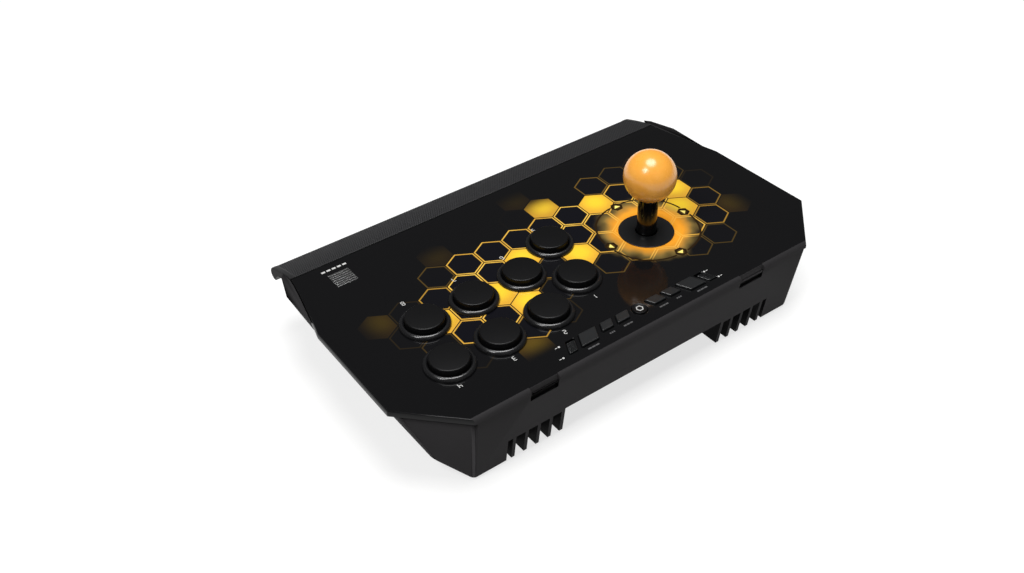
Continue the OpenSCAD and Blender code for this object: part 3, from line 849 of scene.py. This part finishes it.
def make_joystick():
    """The ball, the sleeve below it and the dust washer on the panel."""
    bm = bmesh.new()
    mouth, thread_r = SLEEVE_R - 1, 3.05
    start = -math.degrees(math.acos(mouth / BALL_R))
    skin = arc((0, BALL_Z), BALL_R, start, 90, 40)[:-1] + [(0, BALL_Z + BALL_R)]
    bore = [(0, BALL_Z + 8), (thread_r, BALL_Z + 8), (thread_r, BALL_Z - 16.7), (mouth, BALL_Z - 16.7)]
    add_lathe(bm, skin + bore, STICK, 128)
    make_piece(bm, "ball", "lever", AMBER, ["ball_top"])

    bm = bmesh.new()
    top = BALL_Z - BALL_R + 0.6
    bore_r, foot = SHAFT_R + 0.1, -8.5
    outline = [(bore_r, foot), (HUB_R, foot), (HUB_R, 4), (SLEEVE_R, 5), (SLEEVE_R, top), (bore_r, top)]
    add_lathe(bm, rounded(outline, [0, 0.4, 0.8, 0.8, 0.3, 0], 5), STICK)
    make_piece(bm, "sleeve", "lever", SLEEVE, ["shaft_sleeve"])

    bm = bmesh.new()
    inner = HUB_R + 0.6
    disc = [(inner, 0.3), (19.1, 0.3), (19.3, 0.45), (19.25, 0.7), (19, 0.85), (14, 1.03), (9.5, 1.17)]
    lip = [(inner + 0.5, 1.2), (inner + 0.12, 1.1), (inner, 0.9)]
    add_lathe(bm, disc + lip, STICK, 128)
    make_piece(bm, "washer", "washer", WASHER, ["dust_washer"])


make_joystick()


# ---- Small controls ----

def make_keys():
    """The six leaning keys, each with a flange below the panel and a stem."""
    for number, (x, w, d) in enumerate(KEYS, 1):
        bm = bmesh.new()
        add_plate(bm, leaning(x, w, ROW_FRONT, ROW_FRONT + d), PANEL_BOTTOM - GAP, KEY_TOP, 0.55)
        add_plate(bm, leaning(x, w + 1, ROW_FRONT - 1, ROW_FRONT + d + 1), FLANGE_Z, PANEL_BOTTOM - GAP, 0.1)
        middle = (ROW[0] + x + math.copysign(SLANT, x) * d / 2, ROW[1] + ROW_FRONT + d / 2)
        stem = [(0, STEM_Z), (1.4, STEM_Z), (1.6, STEM_Z + 0.2), (1.6, FLANGE_Z), (0, FLANGE_Z)]
        add_lathe(bm, stem, middle, 32)
        nodes = [f"option_button_{number}"]
        make_piece(bm, f"key_{number}", f"option_key_{number}", KEY, nodes)


def make_slides():
    """The two ribbed slide knobs, near the rear end of their slots."""
    rear = ROW_FRONT - GAP + KNOB_D + SLIDE_TRAVEL
    front = rear - KNOB_D
    for side, name in ((-1, "left"), (1, "right")):
        x = side * SLIDE_X
        bm = bmesh.new()
        add_plate(bm, leaning(x, KNOB_W, front, rear), PANEL_BOTTOM - GAP, 0.6, 0.3)
        add_plate(bm, leaning(x, KNOB_W + 1, front - 0.7, rear + 0.7), FLANGE_Z, PANEL_BOTTOM - GAP, 0.1)
        ribs, half_rib = 6, 0.38
        for k in range(ribs):
            y = front + 0.9 + k * (KNOB_D - 1.8) / (ribs - 1)
            add_plate(bm, leaning(x, KNOB_W - 1.1, y - half_rib, y + half_rib, 0.3), 0.4, 1.1, 0.25)
        foot = (ROW[0] + x + side * SLANT * KNOB_D / 2, ROW[1] + ROW_FRONT + SLIDE_TRAVEL + KNOB_D / 2)
        stem = [(0, STEM_Z), (0.9, STEM_Z), (1, STEM_Z + 0.1), (1, FLANGE_Z), (0, FLANGE_Z)]
        add_lathe(bm, stem, foot, 24)
        make_piece(bm, f"slide_{name}", f"slide_{name}", KEY, [f"slide_knob_{name}"])


def make_home():
    """The round key in the middle of the row and the hexagon printed on it."""
    bm = bmesh.new()
    dish = [(4.2 * k / 5, 0.62 + 0.2 * (k / 5) ** 2) for k in range(6)]
    rim = [(4.45, 0.97), (4.7, 1.0), (4.9, 0.9), (HOME_R, 0.7)]
    stem = [(HOME_R, PANEL_BOTTOM - GAP), (HOME_R + 1, PANEL_BOTTOM - GAP), (HOME_R + 1, PANEL_BOTTOM - 2),
            (2, PANEL_BOTTOM - 2), (2, STEM_Z), (0, STEM_Z)]
    add_lathe(bm, dish + rim + stem, ROW, 72)
    make_piece(bm, "home_cap", "home_key", CAP, ["home_button"])

    bm = bmesh.new()
    add_hexagon_ring(bm, ROW, 2.6, 0.7, 0.6, 0.86)
    make_piece(bm, "home_mark", "home_key", INK)


# Bars of a figure, as (x, y, upright), for the numbers that mark the play buttons
BARS = {"a": (0, 1, 0), "b": (0.5, 0.5, 1), "c": (0.5, -0.5, 1), "d": (0, -1, 0), "e": (-0.5, -0.5, 1),
        "f": (-0.5, 0.5, 1), "g": (0, 0, 0)}
FIGURES = ["bc", "abged", "abgcd", "fgbc", "afgcd", "afgedc", "abc", "abcdefg"]
FIGURE_SPOTS = [(11, -43.9), (49.2, -28.8), (88.5, -28.4), (128.1, -29),
                (-0.2, -125.4), (35.7, -113.5), (74.4, -114), (114.2, -113.6)]

# Middles of the dots by the right slide, of the first dash in the corner and of the badge's first bar
SLIDE_DOTS = [(65, -10.5), (61, -20)]
FIRST_DASH = (123, -173.2)
DASH_STEP = 4
FIRST_BAR = (131, -167.4)
BAR_STEP = 2.15


def make_marks():
    """A number by each play button, dots by the slides, bars behind the keys, and dashes and a plain
    badge in the front right corner."""
    bm = bmesh.new()
    low, high = -0.05, 0.04
    for figure, (x, y) in zip(FIGURES, FIGURE_SPOTS):
        for bar in figure:
            bx, by, upright = BARS[bar]
            size = (0.5, 1.5) if upright else (1.5, 0.5)
            add_box(bm, (x + 1.9 * bx, y + 1.7 * by), size, low, high)
    for side in (-1, 1):
        for x, y in SLIDE_DOTS:
            add_lathe(bm, [(0, low), (0.75, low), (0.75, high), (0, high)], (side * x, y), 24)
            add_box(bm, (side * (x + 2.2), y), (1.6, 0.5), low, high)
    for k in range(5):
        add_box(bm, (FIRST_DASH[0] + DASH_STEP * k, FIRST_DASH[1]), (2.8, 1.6), low, high)
    make_piece(bm, "printed_marks", "frame", INK)

    bm = bmesh.new()
    for side in (-1, 1):
        for x, w in ((15, 7.5), (28, 4.5), (45.5, 9)):
            y = -7.6 if x > 40 else -10.6
            for k in range(3):
                add_box(bm, (ROW[0] + side * x + (k - 1) * w / 3, y), (w / 3 - 0.4, 1.1), low, high)
    make_piece(bm, "key_labels", "frame", DIM_INK)

    bm = bmesh.new()
    for k in range(7):
        add_box(bm, (FIRST_BAR[0], FIRST_BAR[1] + BAR_STEP * k), (15.5, 1.45), -0.1, 0.25, 0.1)
    make_piece(bm, "badge", "frame", BADGE)


make_keys()
make_slides()
make_home()
make_marks()


# ---- Underside and inside ----

def paint_nodes():
    """Finishes for the CAD nodes that stay as they are."""
    finishes = {
        "base_plate": BASE, "case_screws": STEEL, "rubber_feet": RUBBER, "cable_inlet": RUBBER,
        "rear_catches": SHADE, "button_switches": SWITCH, "stick_shaft": STEEL, "under_washer": INNER,
        "mounting_plate": PLATED, "stick_housing": INNER, "gimbal_ring": GIMBAL, "pivot_block": PIVOT,
        "stick_spring": STEEL, "actuator": INNER, "e_clip": STEEL, "restrictor_gate": PLATED,
        "stick_switches": SWITCH, "stick_board": BOARD, "stick_screws": STEEL, "control_board": BOARD,
        "main_board": BOARD,
    }
    for name, material in finishes.items():
        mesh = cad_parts[name].data
        mesh.materials.clear()
        mesh.materials.append(material)


paint_nodes()


# ---- Stage, light and camera ----

def make_stage():
    """Pale floor that glows softly, like a light table, so that its shadows stay light."""
    material = Finish("floor_pale", "#8f8f8e", 0.6, Emission_Color=(1, 1, 1, 1), Emission_Strength=0.72)
    material.roughen(material.noise(40, 2) * 0.1 + 0.55)
    bpy.ops.mesh.primitive_plane_add(size=12)
    floor = bpy.context.object
    floor.name = "floor"
    floor.data.materials.append(material.material)


def add_light(name, direction, distance, size, power):
    data = bpy.data.lights.new(name, "AREA")
    data.shape = "DISK"
    data.size = size
    data.energy = power
    lamp = bpy.data.objects.new(name, data)
    bpy.context.scene.collection.objects.link(lamp)
    lamp.location = Vector(direction).normalized() * distance
    lamp.rotation_euler = Vector(direction).to_track_quat("Z", "Y").to_euler()


def make_lights():
    """Dim surroundings, a large lamp overhead, a smaller one from the right and a faint one from behind."""
    world = bpy.data.worlds.new("studio")
    world.use_nodes = True
    world.node_tree.nodes["Background"].inputs["Color"].default_value = (1, 1, 1, 1)
    world.node_tree.nodes["Background"].inputs["Strength"].default_value = 0.07
    bpy.context.scene.world = world
    add_light("overhead", (-0.04, 0.0, 1), 2.2, 1.3, 55)
    add_light("side", (0.574, 0.138, 0.807), 2.2, 0.7, 22)
    add_light("rear_fill", (0.2, 1, 0.7), 2.4, 1.6, 1.6)


def make_camera():
    """Looks down on the rear and the player's right side, rolled a little."""
    azimuth, elevation, roll = math.radians(144.178), math.radians(38.863), math.radians(-1.208)
    back = Vector((math.sin(azimuth) * math.cos(elevation), -math.cos(azimuth) * math.cos(elevation),
                   math.sin(elevation)))
    right = Vector((0, 0, 1)).cross(back).normalized()
    up = back.cross(right)
    side = right * math.cos(roll) + up * math.sin(roll)
    top = up * math.cos(roll) - right * math.sin(roll)
    data = bpy.data.cameras.new("camera")
    data.sensor_width = 36
    data.lens = 40.41
    camera = bpy.data.objects.new("camera", data)
    bpy.context.scene.collection.objects.link(camera)
    turn = Matrix((side, top, back)).transposed().to_4x4()
    camera.matrix_world = Matrix.Translation((0.38946, 0.49405, 0.52904)) @ turn
    bpy.context.scene.camera = camera


make_stage()
make_lights()
make_camera()
bpy.context.scene.view_settings.view_transform = "Standard"

bpy.context.view_layer.update()
